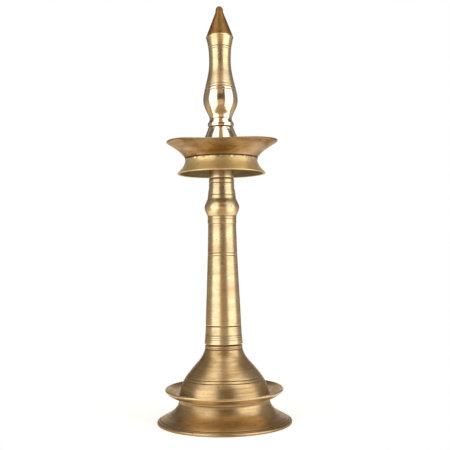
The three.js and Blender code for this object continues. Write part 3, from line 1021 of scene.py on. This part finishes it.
def panel(name, azimuth, distance, low, high, span, radiance, colour):
    """A softbox at an azimuth from the front, span degrees wide, from one height to another."""
    a = math.radians(azimuth)
    at = Vector((math.sin(a) * distance, -math.cos(a) * distance, (low + high) / 2))
    width = 2 * distance * math.tan(math.radians(span / 2))
    softbox(name, at, (0, 0, at.z), width, high - low, radiance, colour)


def make_stage(sizes):
    """A round white table, two tall softboxes beside the camera, weaker ones behind and above."""
    studio, scene = sizes.studio, bpy.context.scene
    rim = [(studio.table, 0.0), (studio.table + 4 * MM, -4 * MM), (studio.table, -8 * MM)]
    outline = Outline(0, -8 * MM)
    for r, z in rim[::-1]:
        outline.line(r, z)
    outline.line(0, 0)
    table = turn("table", outline, edge=1 * MM)
    table.location.z = -0.02 * MM
    material, _, shader = blank_material("Acrylic, white and lit from below")
    shader.inputs["Base Color"].default_value = (0.85, 0.85, 0.85, 1)
    shader.inputs["Roughness"].default_value = 0.6
    shader.inputs["Emission Color"].default_value = (1, 1, 1, 1)
    shader.inputs["Emission Strength"].default_value = 0.5
    table.data.materials.append(material)

    white, warm = (1, 1, 1), (1, 0.62, 0.25)
    panel("softbox_left", -51, 0.9, -0.35, 1.0, 58, 1.6, white)
    panel("softbox_right", 62, 0.9, -0.35, 1.0, 60, 1.6, white)
    panel("softbox_far_left", -112, 0.9, -0.1, 0.9, 50, 0.14, white)
    panel("softbox_far_right", 118, 0.9, -0.1, 0.9, 50, 0.16, white)
    panel("softbox_back", 180, 0.9, -0.1, 0.9, 50, 0.6, white)
    panel("bounce_low", 0, 1.0, -0.3, 0.2, 40, 0.3, warm)
    panel("bounce_high", 0, 1.0, 0.8, 1.2, 40, 0.4, warm)
    for side, name in ((-1, "left"), (1, "right")):
        x = side * 0.52
        softbox("softbox_top_" + name, (x, -0.35, 1.15), (x, -0.35, 0), 0.6, 1.0, 1.7, white)
        x = side * 0.4
        at, target = (x, 0.05, -0.06), (x, 0.05, 1)
        softbox("reflector_" + name, at, target, 0.4, 0.8, 1.0, (1, 0.93, 0.88))
    softbox("bounce_top", (0, -0.1, 1.15), (0, -0.1, 0), 0.42, 1.5, 0.3, warm)

    world = bpy.data.worlds.new("Studio")
    scene.world = world
    world.use_nodes = True
    tree = world.node_tree
    tree.nodes.clear()
    up = add(tree, "ShaderNodeTexCoord").outputs["Generated"]
    rise = add(tree, "ShaderNodeSeparateXYZ", {}, {0: up}).outputs[2]
    below = add(tree, "ShaderNodeMapRange", {}, {
        "Value": rise, "From Min": 0.1, "From Max": -0.3,
    })
    room = add(tree, "ShaderNodeMix", {"data_type": "RGBA"}, {
        0: below.outputs[0], 6: (0.12, 0.095, 0.07, 1), 7: (0.42, 0.32, 0.18, 1),
    })
    dim = add(tree, "ShaderNodeBackground", {}, {"Color": room.outputs[2], "Strength": 1.0})
    plain = add(tree, "ShaderNodeBackground", {}, {"Color": (1, 1, 1, 1), "Strength": 1.0})
    seen = add(tree, "ShaderNodeLightPath").outputs["Is Camera Ray"]
    both = add(tree, "ShaderNodeMixShader", {}, {
        0: seen, 1: dim.outputs[0], 2: plain.outputs[0],
    })
    add(tree, "ShaderNodeOutputWorld", {}, {"Surface": both.outputs[0]})

    camera = bpy.data.cameras.new("camera")
    camera.lens, camera.sensor_width = studio.lens, 36.0
    eye = bpy.data.objects.new("camera", camera)
    scene.collection.objects.link(eye)
    pitch = Matrix.Rotation(math.pi / 2 + studio.pitch, 4, "X")
    roll = Matrix.Rotation(-studio.roll, 4, "Z")
    at = Matrix.Translation((studio.side, -studio.distance, studio.height))
    eye.matrix_world = at @ pitch @ roll
    scene.camera = eye
    scene.view_settings.view_transform = "Standard"


# ---- operators and panel


class SAMAI_OT_base(bpy.types.Operator):
    """Make the foot, the drip saucer and the bell"""

    bl_idname = "samai.base"
    bl_label = "Base castings"

    def execute(self, context):
        sizes = context.scene.samai
        make_foot(sizes)
        make_saucer(sizes)
        make_bell(sizes)
        return {"FINISHED"}


class SAMAI_OT_screws(bpy.types.Operator):
    """Make the threaded bush, the plug and the stud"""

    bl_idname = "samai.screws"
    bl_label = "Screws and socket"

    def execute(self, context):
        make_screws(context.scene.samai)
        return {"FINISHED"}


class SAMAI_OT_packings(bpy.types.Operator):
    """Make the three packing rings"""

    bl_idname = "samai.packings"
    bl_label = "Packing rings"

    def execute(self, context):
        make_packings(context.scene.samai)
        return {"FINISHED"}


class SAMAI_OT_column(bpy.types.Operator):
    """Make the shaft and its turned head"""

    bl_idname = "samai.column"
    bl_label = "Column"

    def execute(self, context):
        make_shaft(context.scene.samai)
        make_head(context.scene.samai)
        return {"FINISHED"}


class SAMAI_OT_dish(bpy.types.Operator):
    """Make the oil pan, its skirt and its hub"""

    bl_idname = "samai.dish"
    bl_label = "Dish"

    def execute(self, context):
        sizes = context.scene.samai
        make_pan(sizes)
        make_skirt(sizes)
        make_hub(sizes)
        return {"FINISHED"}


class SAMAI_OT_finial(bpy.types.Operator):
    """Make the finial"""

    bl_idname = "samai.finial"
    bl_label = "Finial"

    def execute(self, context):
        make_finial(context.scene.samai)
        return {"FINISHED"}


class SAMAI_OT_stage(bpy.types.Operator):
    """Make the table, the lights and the camera"""

    bl_idname = "samai.stage"
    bl_label = "Stage"

    def execute(self, context):
        make_stage(context.scene.samai)
        return {"FINISHED"}


OPERATORS = (
    SAMAI_OT_base, SAMAI_OT_screws, SAMAI_OT_packings, SAMAI_OT_column,
    SAMAI_OT_dish, SAMAI_OT_finial, SAMAI_OT_stage,
)


class SAMAI_PT_sidebar(bpy.types.Panel):
    """Lists the operators"""

    bl_idname = "SAMAI_PT_sidebar"
    bl_label = "Samai"
    bl_space_type = "VIEW_3D"
    bl_region_type = "UI"
    bl_category = "Samai"

    def draw(self, context):
        for operator in OPERATORS:
            self.layout.operator(operator.bl_idname)


CLASSES = (
    SamaiTurning, SamaiBase, SamaiColumn, SamaiDish, SamaiFinial, SamaiFinish, SamaiStudio,
    SamaiSizes, *OPERATORS, SAMAI_PT_sidebar,
)


def register():
    for cls in CLASSES:
        bpy.utils.register_class(cls)
    bpy.types.Scene.samai = PointerProperty(type=SamaiSizes, name="Samai")


def unregister():
    del bpy.types.Scene.samai
    for cls in reversed(CLASSES):
        bpy.utils.unregister_class(cls)


def main():
    register()
    bpy.ops.samai.base()
    bpy.ops.samai.screws()
    bpy.ops.samai.packings()
    bpy.ops.samai.column()
    bpy.ops.samai.dish()
    bpy.ops.samai.finial()
    bpy.ops.samai.stage()


if __name__ == "__main__":
    main()
